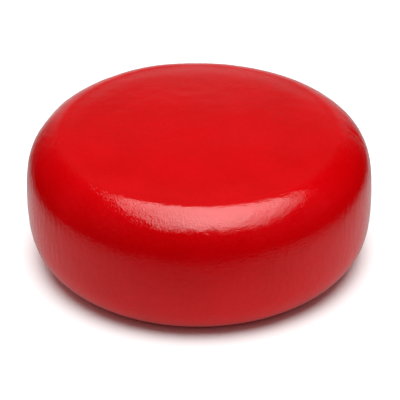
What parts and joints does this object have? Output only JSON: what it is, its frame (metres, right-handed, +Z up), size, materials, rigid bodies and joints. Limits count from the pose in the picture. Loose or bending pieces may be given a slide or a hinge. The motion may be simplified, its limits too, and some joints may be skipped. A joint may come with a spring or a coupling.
{
  "type": "red waxed gouda cheese wheel",
  "caption": "Whole uncut gouda wheel in glossy red wax: a low round cheese with rounded shoulders, a slightly domed top and a flat foot.",
  "frame": {"origin": "middle of the flat foot, on the surface the wheel lies on", "axes": "+Z up through the middle of the wheel, -Y towards the side shown in the picture"},
  "size_m": [0.2496, 0.2504, 0.1017],
  "materials": {
    "red_wax": "glossy red cheese wax over a smooth rind, with a fine grain that breaks up its highlights"
  },
  "bodies": {
    "root": {"waxed_wheel": "red_wax"}
  },
  "joints": []
}
